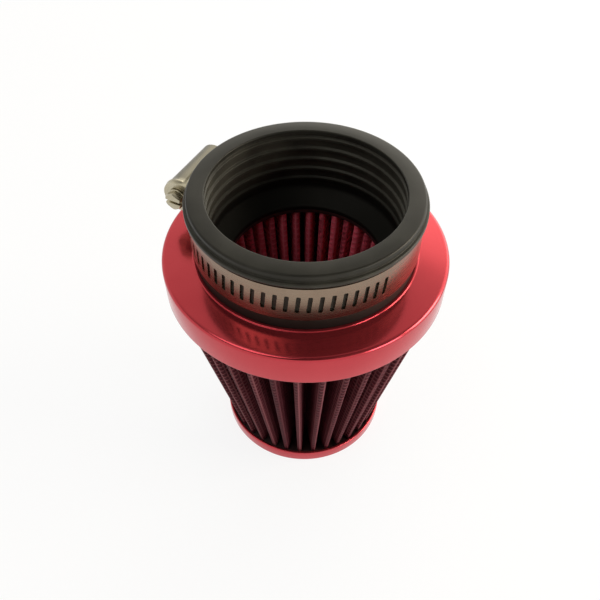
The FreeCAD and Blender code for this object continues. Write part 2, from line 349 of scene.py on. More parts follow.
def round_edges(piece, select, width, segments=3):
    """Bevel the edges whose two ends pass select(point in mm)."""
    only(piece)
    bpy.ops.object.mode_set(mode="EDIT")
    bpy.ops.mesh.select_mode(type="EDGE")
    bpy.ops.mesh.select_all(action="DESELECT")
    bpy.ops.object.mode_set(mode="OBJECT")
    for edge in piece.data.edges:
        ends = [piece.data.vertices[i].co / MM for i in edge.vertices]
        edge.select = select(*ends)
    bpy.ops.object.mode_set(mode="EDIT")
    bpy.ops.mesh.bevel(offset=width * MM, segments=segments, profile=0.5, affect="EDGES")
    bpy.ops.object.mode_set(mode="OBJECT")


def at_clamp(piece):
    """Turn a finished piece of the clamp from +X to its place round the neck."""
    only(piece)
    piece.rotation_euler.z = CLAMP_TURN
    bpy.ops.object.transform_apply(location=True, rotation=True, scale=True)
    return piece


# Pressed ends, seals and the rubber neck

def end_cap():
    return turned("end_cap_cup", [
        (0, 0),
        (CAP_R, 0, CAP_EDGE_R),
        (CAP_R, CAP_RIM_Z, SHEET_EDGE_R),
        (CAP_R - CAP_SHEET, CAP_RIM_Z, SHEET_EDGE_R),
        (CAP_R - CAP_SHEET, CAP_SHEET),
        (0, CAP_SHEET),
    ])


def collar():
    lip_r = SEAT_R + COLLAR_SHEET
    inner_r = COLLAR_R - COLLAR_SHEET
    return turned("collar_ring", [
        (SEAT_R, COLLAR_UNDER_Z),
        (inner_r, COLLAR_UNDER_Z),
        (inner_r, SKIRT_Z, SHEET_EDGE_R),
        (COLLAR_R, SKIRT_Z, SHEET_EDGE_R),
        (COLLAR_R, COLLAR_Z, COLLAR_EDGE_R),
        (lip_r, COLLAR_Z, HOLE_LIP_FILLET),
        (lip_r, HOLE_LIP_Z, HOLE_LIP_ROUND),
        (SEAT_R, HOLE_LIP_Z, HOLE_LIP_ROUND),
    ])


def inlet_neck():
    slope = (RIB_BASE - RIB_CREST) / 2
    land_z = TOP_Z - MOUTH_LAND
    throat_z = NECK_Z + THROAT_LAND
    outline = [
        (THROAT_R, NECK_Z),
        (NECK_FLANGE_R, NECK_Z),
        (NECK_FLANGE_R, COLLAR_UNDER_Z),
        (SEAT_R, COLLAR_UNDER_Z),
        (SEAT_R, LIP_Z, LIP_SOFT_R),
        (LIP_R, LIP_Z, LIP_SOFT_R),
        (LIP_R, LEDGE_Z, LIP_SOFT_R),
        (LIP_R - LEDGE_W, LEDGE_Z, LIP_SOFT_R / 2),
        (LIP_R - LEDGE_W, TOP_Z, LIP_ROUND),
        (BORE_R, TOP_Z, MOUTH_ROUND),
        (BORE_R, land_z, RIB_SOFT_R),
        (WALL_R, land_z - slope),
    ]
    for i in range(RIB_COUNT):
        rib_z = TOP_Z - FIRST_RIB_DEPTH - i * RIB_PITCH
        outline += [
            (WALL_R, rib_z + RIB_BASE / 2, RIB_SOFT_R),
            (BORE_R, rib_z + RIB_CREST / 2, RIB_SOFT_R),
            (BORE_R, rib_z - RIB_CREST / 2, RIB_SOFT_R),
            (WALL_R, rib_z - RIB_BASE / 2, RIB_SOFT_R),
        ]
    outline += [
        (WALL_R, throat_z + SHOULDER_H, SHOULDER_ROUND),
        (THROAT_R, throat_z, THROAT_LAND / 2),
    ]
    return turned("rubber_neck", outline)


def lower_seal():
    return turned("potting_disc", [
        (0, CAP_SHEET),
        (CAP_R - CAP_SHEET, CAP_SHEET),
        (CAP_R - CAP_SHEET, PACK_Z, LOWER_SEAL_EDGE_R),
        (0, PACK_Z),
    ])


def upper_seal():
    return turned("potting_ring", [
        (THROAT_R, PACK_TOP_Z, UPPER_SEAL_EDGE_R),
        (NECK_FLANGE_R, PACK_TOP_Z, UPPER_SEAL_EDGE_R),
        (NECK_FLANGE_R, NECK_Z),
        (THROAT_R, NECK_Z),
    ])


# Pleated layers

def fold_centres():
    """Centres of the folds at the large end, ridge and valley in turn, a little uneven."""
    stray = random.Random(FOLD_SEED)
    top_r = COLLAR_R - COLLAR_SHEET - PLEAT_CLEAR
    ridge_r = top_r - RIDGE_BEND_R - PACK_T
    valley_r = top_r - PLEAT_DEPTH + VALLEY_BEND_R + PACK_T
    pitch = 360 / PLEATS
    centres = []
    for i in range(PLEATS):
        ridge_deg = FIRST_RIDGE_DEG + i * pitch + stray.uniform(-RIDGE_STRAY_DEG, RIDGE_STRAY_DEG)
        valley_deg = FIRST_RIDGE_DEG + (i + 0.5) * pitch
        valley_deg += stray.uniform(-VALLEY_STRAY_DEG, VALLEY_STRAY_DEG)
        for radius, degrees in ((ridge_r, ridge_deg), (valley_r, valley_deg)):
            turn = math.radians(degrees)
            centres.append(Vector((radius * math.cos(turn), radius * math.sin(turn))))
    return centres


def flank(ridge, valley, reach, side):
    """Direction out of the ridge's centre to where the flank on that side touches its fold."""
    run = valley - ridge
    heading = math.atan2(run.y, run.x) + side * math.asin(reach / run.length)
    across = heading - side * math.pi / 2
    return Vector((math.cos(across), math.sin(across)))


def pleat_points(inset):
    """Outline at the large end of the pleat surface that lies inset below the outer face.

    Each point comes with its height in the fold: 1 on a ridge, 0 in a valley.
    """
    centres = fold_centres()
    ridge_r = RIDGE_BEND_R + PACK_T - inset
    valley_r = VALLEY_BEND_R + inset
    reach = ridge_r + valley_r
    points = []
    for i in range(PLEATS):
        ridge, before = centres[2 * i], centres[2 * i - 1]
        after, following = centres[2 * i + 1], centres[(2 * i + 2) % len(centres)]
        leave = flank(ridge, after, reach, 1)
        enter = flank(ridge, before, reach, -1)
        arrive = flank(following, after, reach, -1)
        points += [(p, 1.0) for p in fold_arc(ridge, enter, leave, ridge_r, RIDGE_STEPS, 1)]
        points += flank_points(ridge + leave * ridge_r, after - leave * valley_r, 1.0)
        points += [(p, 0.0) for p in fold_arc(after, -leave, -arrive, valley_r, VALLEY_STEPS, -1)]
        points += flank_points(after - arrive * valley_r, following + arrive * ridge_r, 0.0)
    return points


def fold_arc(centre, start, end, radius, steps, way):
    """Round part of a fold, turning left (1) or right (-1)."""
    first = math.atan2(start.y, start.x)
    sweep = (math.atan2(end.y, end.x) - first) * way % (2 * math.pi) * way
    turns = [first + sweep * k / steps for k in range(steps + 1)]
    return [centre + radius * Vector((math.cos(turn), math.sin(turn))) for turn in turns]


def flank_points(start, end, fold):
    """Points between two folds, with their height from the fold that they leave to the next."""
    parts = [k / FLANK_STEPS for k in range(1, FLANK_STEPS)]
    return [(start.lerp(end, part), abs(fold - part)) for part in parts]


def pleat_layer(name, inset, thickness):
    """Folded sheet drawn in towards the small end; it keeps its unfolded length and fold height."""
    outline = pleat_points(inset)
    top_r = COLLAR_R - COLLAR_SHEET - PLEAT_CLEAR
    rim_r = CAP_R - CAP_SHEET - PLEAT_CLEAR
    slope = (top_r - rim_r) / (PACK_TOP_Z - CAP_RIM_Z)
    small = (rim_r - slope * (CAP_RIM_Z - PACK_Z)) / top_r
    height = PACK_TOP_Z - PACK_Z
    piece = outline_circle(name, [mm(p.x * small, p.y * small, PACK_Z) for p, fold in outline])
    for layer in ("along", "fold"):
        piece.data.attributes.new(layer, "FLOAT", "POINT")
    length = 0.0
    for i, (point, fold) in enumerate(outline):
        length += (point - outline[i - 1][0]).length if i else 0.0
        piece.data.attributes["along"].data[i].value = length
        piece.data.attributes["fold"].data[i].value = fold
    bpy.ops.object.mode_set(mode="EDIT")
    bpy.ops.mesh.select_all(action="SELECT")
    for row in range(1, PLEAT_ROWS + 1):
        grown = small + (1 - small) * row / PLEAT_ROWS
        before = small + (1 - small) * (row - 1) / PLEAT_ROWS
        bpy.ops.mesh.extrude_region_move(
            TRANSFORM_OT_translate={"value": (0, 0, height / PLEAT_ROWS * MM)})
        bpy.ops.transform.resize(value=(grown / before, grown / before, 1), center_override=(0, 0, 0))
    bpy.ops.mesh.select_all(action="SELECT")
    bpy.ops.mesh.normals_make_consistent(inside=False)
    bpy.ops.object.mode_set(mode="OBJECT")
    apply_modifier(piece, "SOLIDIFY", thickness=thickness * MM, offset=-1)
    smooth(piece, 60)
    return piece


# Hose clamp

def band_radius(degrees):
    """Inner radius of the band as it climbs from the seat on to its own plain end."""
    climb = (RAMP_FOOT_DEG - degrees) / (RAMP_FOOT_DEG - RAMP_TOP_DEG)
    climb = min(max(climb, 0.0), 1.0)
    return SEAT_R + (LAP_R - SEAT_R) * climb * climb * (3 - 2 * climb)


def clamp_band():
    """A flat strip with its slots punched, then wound round the neck."""
    middle_r = SEAT_R + BAND_T / 2
    length = middle_r * math.radians(PLAIN_END_DEG - TAIL_DEG)
    bpy.ops.object.select_all(action="DESELECT")
    bpy.ops.mesh.primitive_grid_add(x_subdivisions=BAND_STEPS, y_subdivisions=2, size=1)
    strip = fresh("slotted_band")
    strip.scale = mm(length, BAND_W, 1)
    strip.location = mm(length / 2, 0, 0)
    bpy.ops.object.transform_apply(location=True, rotation=True, scale=True)
    apply_modifier(strip, "SOLIDIFY", thickness=BAND_T * MM, offset=1)

    pitch_deg = math.degrees(SLOT_PITCH / (SEAT_R + BAND_T))
    slots = int((FIRST_SLOT_DEG - TAIL_DEG - TAIL_MARGIN_DEG) / pitch_deg) + 1
    first = middle_r * math.radians(PLAIN_END_DEG - FIRST_SLOT_DEG)
    punch = block("punch", (-SLOT_W / 2, -SLOT_L / 2, -BAND_T),
                  (SLOT_W / 2, SLOT_L / 2, 2 * BAND_T))
    round_edges(punch, lambda a, b: abs(a.z - b.z) > BAND_T, SLOT_CORNER_R)
    only(punch)
    punch.rotation_euler.z = math.radians(SLOT_TILT_DEG)
    punch.location = mm(first, 0, 0)
    bpy.ops.object.transform_apply(location=True, rotation=True, scale=True)
    apply_modifier(punch, "ARRAY", count=slots, use_relative_offset=False, use_constant_offset=True,
                   constant_offset_displace=mm(middle_r * math.radians(pitch_deg), 0, 0))
    combine(strip, [punch], "DIFFERENCE")
    apply_modifier(strip, "BEVEL", width=BAND_EDGE * MM, segments=1, limit_method="ANGLE",
                   angle_limit=math.radians(50))

    for vertex in strip.data.vertices:
        x, y, z = vertex.co / MM
        degrees = PLAIN_END_DEG - math.degrees(x / middle_r)
        radius = band_radius(degrees) + z
        turn = math.radians(degrees)
        vertex.co = mm(radius * math.cos(turn), radius * math.sin(turn), CLAMP_Z + y)
    tidy_mesh(strip)
    smooth(strip, 30)
    return at_clamp(strip)


def clamp_housing():
    """Saddle bent round the band, with an arch over the worm and a bearing for its journal."""
    worm_room = WORM_R + WORM_GAP
    arch_r = worm_room + HOUSING_T
    passage_r = TAIL_OUTER_R + HOUSING_GAP
    worm_end = HOUSING_FRONT - BEARING_L
    body = block("worm_housing", (SEAT_R / 2, -SADDLE_REAR, CLAMP_Z - HOUSING_HALF_W),
                 (SCREW_X, HOUSING_FRONT, CLAMP_Z + HOUSING_HALF_W))
    round_edges(body, lambda a, b: abs(a.x - b.x) > LEVEL and max(a.y, b.y) < 0, SADDLE_CORNER_R, 6)
    combine(body, [upright("strap", passage_r + HOUSING_T, 2 * HOUSING_HALF_W)], "INTERSECT")
    walls = block("walls", (SEAT_R / 2, -ARCH_REAR, CLAMP_Z - arch_r),
                  (SCREW_X, HOUSING_FRONT, CLAMP_Z + arch_r))
    arch = drum("arch", arch_r, -ARCH_REAR, HOUSING_FRONT)
    bearing = drum("bearing", arch_r + BULGE, worm_end, HOUSING_FRONT)
    round_edges(bearing, lambda a, b: abs(a.y - b.y) < LEVEL, BULGE_ROUND, 4)
    combine(body, [walls, arch, bearing], "UNION")
    combine(body, [
        upright("passage", passage_r, BAND_W / 2),
        upright("under", SEAT_R + HOUSING_GAP, 2 * HOUSING_HALF_W),
        block("worm_slot", (0, -2 * ARCH_REAR, CLAMP_Z - worm_room),
              (SCREW_X, worm_end, CLAMP_Z + worm_room)),
        drum("worm_bore", worm_room, -2 * ARCH_REAR, worm_end),
        drum("journal_bore", JOURNAL_R + JOURNAL_GAP, -ARCH_REAR, 2 * HOUSING_FRONT),
    ], "DIFFERENCE")
    tidy_mesh(body)
    apply_modifier(body, "BEVEL", width=HOUSING_EDGE * MM, segments=2, limit_method="ANGLE",
                   angle_limit=math.radians(40))
    smooth(body, 40)
    return at_clamp(body)


def clamp_screw():
    """Worm with its thread, journal, flange and slotted hexagon head."""
    worm_front = HOUSING_FRONT - BEARING_L - THRUST_GAP
    flange_back = HOUSING_FRONT + THRUST_GAP
    head_back = flange_back + SCREW_FLANGE_T
    head_front = head_back + HEX_H
    corner_r = HEX_FLATS / 2 / math.cos(math.pi / 6)
    core = drum("worm_screw", JOURNAL_R, -WORM_TAIL, head_back)
    flange = drum("flange", SCREW_FLANGE_R, flange_back, head_back)
    round_edges(flange, lambda a, b: abs(a.y - b.y) < LEVEL, SCREW_FLANGE_T / 3)
    head = drum("head", corner_r, head_back - SCREW_FLANGE_T / 2, head_front, 6)
    crown = drum("crown", CROWN_OVER * corner_r, head_back - HEX_H, head_front)
    round_edges(crown, lambda a, b: min(a.y, b.y) > head_front - LEVEL, HEX_CHAMFER)
    combine(head, [crown], "INTERSECT")
    groove = block("groove",
                   (SCREW_X - SCREW_FLANGE_R, head_front - DRIVE_SLOT_D, CLAMP_Z - DRIVE_SLOT_W / 2),
                   (SCREW_X + SCREW_FLANGE_R, head_front + HEX_H, CLAMP_Z + DRIVE_SLOT_W / 2))
    combine(head, [groove], "DIFFERENCE")
    tidy_mesh(head)
    apply_modifier(head, "BEVEL", width=HEX_EDGE * MM, segments=2, limit_method="ANGLE",
                   angle_limit=math.radians(35))
    thread = worm_thread(worm_front)
    only(core)
    for shell in (flange, head, thread):
        shell.select_set(True)
    bpy.ops.object.join()
    tidy_mesh(core)
    smooth(core, 40)
    return at_clamp(core)


def worm_thread(front):
    """Helical ridge from the worm's tail to its shoulder."""
    turns = int((front + WORM_TAIL - SLOT_PITCH) / SLOT_PITCH)
    root_r = JOURNAL_R - THREAD_SUNK
    profile = [(root_r, -THREAD_BASE), (root_r, THREAD_BASE),
               (WORM_R, THREAD_CREST), (WORM_R, -THREAD_CREST)]
    thread = outline_circle("thread", [mm(r, y, 0) for r, y in profile])
    apply_modifier(thread, "SCREW", axis="Y", angle=2 * math.pi, screw_offset=SLOT_PITCH * MM,
                   iterations=turns, steps=THREAD_STEPS, render_steps=THREAD_STEPS)
    bpy.ops.object.mode_set(mode="EDIT")
    bpy.ops.mesh.select_all(action="SELECT")
    bpy.ops.mesh.fill_holes(sides=6)
    bpy.ops.object.mode_set(mode="OBJECT")
    thread.location = mm(SCREW_X, THREAD_INSET - WORM_TAIL + THREAD_BASE, CLAMP_Z)
    bpy.ops.object.transform_apply(location=True, rotation=True, scale=True)
    tidy_mesh(thread)
    return thread


# Materials

# Sockets of a Mix node that is set to colours
MIX_FROM, MIX_TO, MIXED = 6, 7, 2


def linear(hex_colour):
    """Linear RGBA from an sRGB hex colour."""
    channels = [int(hex_colour[i:i + 2], 16) / 255 for i in (1, 3, 5)]
    return [c / 12.92 if c <= 0.04045 else ((c + 0.055) / 1.055) ** 2.4 for c in channels] + [1.0]


def add(tree, kind, inputs=None, **settings):
    """Add a node, set its properties, and fill or link its inputs."""
    made = tree.nodes.new(kind)
    for key, value in settings.items():
        setattr(made, key, value)
    for key, value in (inputs or {}).items():
        if isinstance(value, bpy.types.NodeSocket):
            tree.links.new(value, made.inputs[key])
        else:
            made.inputs[key].default_value = value
    return made


def new_material(name):
    """An empty node material with its Principled shader."""
    material = bpy.data.materials.new(name)
    material.use_nodes = True
    tree = material.node_tree
    return material, tree, tree.nodes["Principled BSDF"]


def per_mm(size):
    """Texture scale, per metre, of a pattern that repeats every size millimetres."""
    return 1 / (size * MM)


def anodised_aluminium():
    """Red anodised aluminium: a dyed skin on pressed sheet, part tinted mirror and part even colour."""
    material, tree, shader = new_material("red_anodised_aluminium")
    place = add(tree, "ShaderNodeTexCoord").outputs["Object"]
    cloud = add(tree, "ShaderNodeTexNoise", {"Vector": place, "Scale": per_mm(DYE_CLOUD), "Detail": 2.0})
    grain = add(tree, "ShaderNodeTexNoise", {"Vector": place, "Scale": per_mm(ETCH_GRAIN), "Detail": 2.0})
    colour = add(tree, "ShaderNodeMix", {"Factor": cloud.outputs["Fac"], MIX_FROM: linear("#B83840"),
                                         MIX_TO: linear("#C4444B")}, data_type="RGBA")
    gloss = add(tree, "ShaderNodeMapRange", {"Value": grain.outputs["Fac"],
                                             "To Min": 0.12, "To Max": 0.2})
    bump = add(tree, "ShaderNodeBump", {"Height": grain.outputs["Fac"], "Strength": 0.03,
                                        "Distance": 0.05 * MM})
    tree.links.new(colour.outputs[MIXED], shader.inputs["Base Color"])
    tree.links.new(gloss.outputs["Result"], shader.inputs["Roughness"])
    tree.links.new(bump.outputs["Normal"], shader.inputs["Normal"])
    shader.inputs["Metallic"].default_value = 0.8
    return material


def moulded_rubber():
    """Moulded nitrile rubber: satin with a grey bloomed skin above, near-black and matte deep in the bore.

    The near-black deep in the bore is painted shade. The mouth is wiped of its grey skin, where hands and
    hoses rub.
    """
    material, tree, shader = new_material("moulded_black_rubber")
    place = add(tree, "ShaderNodeTexCoord").outputs["Object"]
    cloud = add(tree, "ShaderNodeTexNoise", {"Vector": place, "Scale": per_mm(BLOOM_CLOUD), "Detail": 4.0})
    grain = add(tree, "ShaderNodeTexNoise", {"Vector": place, "Scale": per_mm(MOULD_GRAIN), "Detail": 3.0})
    up = add(tree, "ShaderNodeSeparateXYZ", {"Vector": place}).outputs["Z"]
    # Painted shade: the rubber darkens towards and below the collar's height, deep in the bore; the same
    # ramp also makes it rougher there
    depth_shade_and_matte = add(tree, "ShaderNodeMapRange", {"Value": up, "From Min": COLLAR_Z * MM,
                                               "From Max": (COLLAR_Z + DEPTH_SHADE_FADE) * MM})
    wiped = add(tree, "ShaderNodeMapRange", {"Value": up, "From Min": TOP_Z * MM, "To Min": 0.45,
                                             "From Max": (TOP_Z - MOUTH_WIPED) * MM})
    bloom_and_depth_shade = cloud.outputs["Fac"]
    for share in (depth_shade_and_matte, wiped):
        bloom_and_depth_shade = add(tree, "ShaderNodeMath", {0: bloom_and_depth_shade, 1: share.outputs["Result"]},
                    operation="MULTIPLY").outputs[0]
    colour = add(tree, "ShaderNodeMix", {"Factor": bloom_and_depth_shade, MIX_FROM: linear("#080807"),
                                         MIX_TO: linear("#4A4840")}, data_type="RGBA")
    satin = add(tree, "ShaderNodeMapRange", {"Value": depth_shade_and_matte.outputs["Result"],
                                             "To Min": 0.58, "To Max": 0.3})
    gloss = add(tree, "ShaderNodeMath", {0: cloud.outputs["Fac"], 1: 0.14, 2: satin.outputs["Result"]},
                operation="MULTIPLY_ADD")
    bump = add(tree, "ShaderNodeBump", {"Height": grain.outputs["Fac"], "Strength": 0.12,
                                        "Distance": 0.06 * MM})
    tree.links.new(colour.outputs[MIXED], shader.inputs["Base Color"])
    tree.links.new(gloss.outputs[0], shader.inputs["Roughness"])
    tree.links.new(bump.outputs["Normal"], shader.inputs["Normal"])
    shader.inputs["Specular IOR Level"].default_value = 0.2
    shader.inputs["Specular Tint"].default_value = linear("#FFF8E8")
    return material


def rolled_stainless():
    """Rolled stainless strip: fine lines along its length that draw out the highlights."""
    material, tree, shader = new_material("rolled_stainless_strip")
    place = add(tree, "ShaderNodeTexCoord").outputs["Object"]
    drawn = add(tree, "ShaderNodeMapping", {"Vector": place, "Scale": (ROLL_DRAW, ROLL_DRAW, 1.0)})
    lines = add(tree, "ShaderNodeTexNoise", {"Vector": drawn.outputs["Vector"],
                                             "Scale": per_mm(ROLL_LINE), "Detail": 3.0})
    smear = add(tree, "ShaderNodeTexNoise", {"Vector": place, "Scale": per_mm(ROLL_SMEAR), "Detail": 3.0})
    colour = add(tree, "ShaderNodeMix", {"Factor": smear.outputs["Fac"], MIX_FROM: linear("#82705F"),
                                         MIX_TO: linear("#998775")}, data_type="RGBA")
    gloss = add(tree, "ShaderNodeMapRange", {"Value": lines.outputs["Fac"],
                                             "To Min": 0.2, "To Max": 0.34})
    bump = add(tree, "ShaderNodeBump", {"Height": lines.outputs["Fac"], "Strength": 0.08,
                                        "Distance": 0.04 * MM})
    tree.links.new(colour.outputs[MIXED], shader.inputs["Base Color"])
    tree.links.new(gloss.outputs["Result"], shader.inputs["Roughness"])
    tree.links.new(bump.outputs["Normal"], shader.inputs["Normal"])
    shader.inputs["Metallic"].default_value = 1.0
    return material


def zinc_plate():
    """Yellow zinc plate: dull and clouded by its passivation; towards the screw's head it turns lighter,
    which is painted light, and glossier.
    """
    material, tree, shader = new_material("yellow_zinc_plate")
    place = add(tree, "ShaderNodeTexCoord").outputs["Object"]
    cloud = add(tree, "ShaderNodeTexNoise", {"Vector": place, "Scale": per_mm(ZINC_CLOUD), "Detail": 4.0})
    pits = add(tree, "ShaderNodeTexNoise", {"Vector": place, "Scale": per_mm(ZINC_PIT), "Detail": 2.0})
    towards_head = add(tree, "ShaderNodeVectorMath", {0: place, 1: SCREW_JOINT["axis"]},
                       operation="DOT_PRODUCT")
    middle = Vector(SCREW_JOINT["pos_m"]).dot(Vector(SCREW_JOINT["axis"]))
    # Painted light: the zinc turns to a lighter copy over the last few millimetres before the screw's
    # head, where it is lit; it is also made glossier there
    painted_head_light = add(tree, "ShaderNodeMapRange", {"Value": towards_head.outputs["Value"],
                                            "From Min": middle + (HOUSING_FRONT - HEAD_LIGHT_RUN) * MM,
                                            "From Max": middle + HOUSING_FRONT * MM}).outputs["Result"]
    dull = add(tree, "ShaderNodeMix", {"Factor": cloud.outputs["Fac"], MIX_FROM: linear("#565142"),
                                       MIX_TO: linear("#6E6856")}, data_type="RGBA")
    painted_lit_zinc = add(tree, "ShaderNodeMix", {"Factor": cloud.outputs["Fac"], MIX_FROM: linear("#A49C86"),
                                         MIX_TO: linear("#C4BCA4")}, data_type="RGBA")
    colour = add(tree, "ShaderNodeMix", {"Factor": painted_head_light, MIX_FROM: dull.outputs[MIXED],
                                         MIX_TO: painted_lit_zinc.outputs[MIXED]}, data_type="RGBA")
    gloss = add(tree, "ShaderNodeMapRange", {"Value": painted_head_light, "To Min": 0.4, "To Max": 0.24})
    bump = add(tree, "ShaderNodeBump", {"Height": pits.outputs["Fac"], "Strength": 0.04,
                                        "Distance": 0.05 * MM})
    tree.links.new(colour.outputs[MIXED], shader.inputs["Base Color"])
    tree.links.new(gloss.outputs["Result"], shader.inputs["Roughness"])
    tree.links.new(bump.outputs["Normal"], shader.inputs["Normal"])
    shader.inputs["Metallic"].default_value = 0.9
    return material


def weave(tree, pitch, level):
    """Mask, height and mottled streaks of a square weave, from the unfolded length and the height."""
    along = add(tree, "ShaderNodeAttribute", attribute_name="along").outputs["Fac"]
    place = add(tree, "ShaderNodeTexCoord").outputs["Object"]
    up = add(tree, "ShaderNodeSeparateXYZ", {"Vector": place}).outputs["Z"]
    waves = []
    for length, scale in ((along, 2 * math.pi / pitch), (up, 2 * math.pi / (pitch * MM))):
        turned_by = add(tree, "ShaderNodeMath", {0: length, 1: scale}, operation="MULTIPLY")
        wave = add(tree, "ShaderNodeMath", {0: turned_by.outputs[0]}, operation="COSINE")
        waves.append(wave.outputs[0])
    height = add(tree, "ShaderNodeMath", {0: waves[0], 1: waves[1]}, operation="MAXIMUM").outputs[0]
    mask = add(tree, "ShaderNodeMapRange", {"Value": height, "From Min": level - WEAVE_SOFT,
                                            "From Max": level + WEAVE_SOFT})
    sheet = add(tree, "ShaderNodeCombineXYZ", {"X": along, "Z": up})
    streaks = add(tree, "ShaderNodeTexNoise", {"Vector": sheet.outputs[0], "Scale": 1 / STREAK_W,
                                               "Detail": 2.0})
    mottle = add(tree, "ShaderNodeTexNoise", {"Vector": place, "Scale": per_mm(MOTTLE_W), "Detail": 2.0})
    uneven = add(tree, "ShaderNodeMath", {0: streaks.outputs["Fac"], 1: mottle.outputs["Fac"]},
                 operation="ADD")
    contrast = add(tree, "ShaderNodeMapRange", {"Value": uneven.outputs[0], "From Min": 0.82,
                                                "From Max": 1.18})
    return mask.outputs["Result"], height, contrast.outputs["Result"]


def wire_screen(name, near_fold, gauze_colours, wire_colours):
    """Fine woven wire pressed on oiled red gauze, which shows through its mesh in uneven streaks.

    The colours run from dark to light gauze and from dull to light wire. The light colours are a
    painted highlight along the folds that stand out: the ridges outside (1), the valleys inside (0);
    the flanks between keep the dark colours as painted shade. Some folds get more highlight than others.
    """
    material, tree, shader = new_material(name)
    mask, height, streaks = weave(tree, WIRE_PITCH, WIRE_LEVEL)
    fold = add(tree, "ShaderNodeAttribute", attribute_name="fold").outputs["Fac"]
    # Painted highlight: gauze and wire lighten along the folds that stand out, and the flanks between stay
    # dark as painted shade
    fold_highlight = add(tree, "ShaderNodeMapRange", {"Value": fold, "From Min": abs(near_fold - HIGHLIGHT_PART),
                                              "From Max": near_fold}).outputs["Result"]
    along = add(tree, "ShaderNodeAttribute", attribute_name="along").outputs["Fac"]
    folds = add(tree, "ShaderNodeTexNoise", {"W": along, "Scale": 1 / PLEAT_RUN, "Detail": 1.0},
                noise_dimensions="1D")
    uneven_highlight = add(tree, "ShaderNodeMapRange", {"Value": folds.outputs["Fac"], "From Min": 0.35,
                                             "From Max": 0.65, "To Min": 0.3})
    fold_highlight = add(tree, "ShaderNodeMath", {0: fold_highlight, 1: uneven_highlight.outputs["Result"]},
                 operation="MULTIPLY").outputs[0]
    streaks_and_highlight = add(tree, "ShaderNodeMath", {0: streaks, 1: fold_highlight}, operation="MAXIMUM").outputs[0]
    layers = []
    for share, (dark, light) in ((streaks_and_highlight, gauze_colours), (fold_highlight, wire_colours)):
        layer = add(tree, "ShaderNodeMix", {"Factor": share, MIX_FROM: linear(dark),
                                            MIX_TO: linear(light)}, data_type="RGBA")
        layers.append(layer.outputs[MIXED])
    colour = add(tree, "ShaderNodeMix", {"Factor": mask, MIX_FROM: layers[0], MIX_TO: layers[1]},
                 data_type="RGBA")
    bump = add(tree, "ShaderNodeBump", {"Height": height, "Strength": 0.5, "Distance": 0.12 * MM})
    tree.links.new(colour.outputs[MIXED], shader.inputs["Base Color"])
    tree.links.new(bump.outputs["Normal"], shader.inputs["Normal"])
    shader.inputs["Roughness"].default_value = 0.6
    shader.inputs["Specular IOR Level"].default_value = 0.05
    return material


def cotton_gauze():
    """Oiled red cotton gauze: a loose thread weave with a soft nap."""
    material, tree, shader = new_material("red_cotton_gauze")
    mask, height, streaks = weave(tree, THREAD_PITCH, THREAD_LEVEL)
    thread = add(tree, "ShaderNodeMix", {"Factor": streaks, MIX_FROM: linear("#7A1A26"),
                                         MIX_TO: linear("#9A2432")}, data_type="RGBA")
    # The gaps between threads take a darker red, which paints the shade in them
    colour = add(tree, "ShaderNodeMix", {"Factor": mask, MIX_FROM: linear("#4A0D14"),
                                         MIX_TO: thread.outputs[MIXED]}, data_type="RGBA")
    bump = add(tree, "ShaderNodeBump", {"Height": height, "Strength": 0.5, "Distance": 0.15 * MM})
    tree.links.new(colour.outputs[MIXED], shader.inputs["Base Color"])
    tree.links.new(bump.outputs["Normal"], shader.inputs["Normal"])
    shader.inputs["Roughness"].default_value = 0.85
    return material


def potting_compound():
    """Cast polyurethane: dark, matte, with slow flow ripples and small bubbles."""
    material, tree, shader = new_material("cast_polyurethane")
    place = add(tree, "ShaderNodeTexCoord").outputs["Object"]
    ripple = add(tree, "ShaderNodeTexNoise", {"Vector": place, "Scale": per_mm(POTTING_RIPPLE),
                                              "Detail": 3.0})
    bubbles = add(tree, "ShaderNodeTexVoronoi", {"Vector": place, "Scale": per_mm(POTTING_BUBBLE)})
    colour = add(tree, "ShaderNodeMix", {"Factor": ripple.outputs["Fac"], MIX_FROM: linear("#2A1615"),
                                         MIX_TO: linear("#402422")}, data_type="RGBA")
    lumps = add(tree, "ShaderNodeMath", {0: ripple.outputs["Fac"], 1: bubbles.outputs["Distance"]},
                operation="ADD")
    bump = add(tree, "ShaderNodeBump", {"Height": lumps.outputs[0], "Strength": 0.25,
                                        "Distance": 0.2 * MM})
    tree.links.new(colour.outputs[MIXED], shader.inputs["Base Color"])
    tree.links.new(bump.outputs["Normal"], shader.inputs["Normal"])
    shader.inputs["Roughness"].default_value = 0.55
    return material


# Assembly

def dress(piece, material, node, body="filter"):
    """Give a finished piece its material and put it in its node's place."""
    piece.data.materials.clear()
    piece.data.materials.append(material)
    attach(piece, body)
    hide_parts(node)


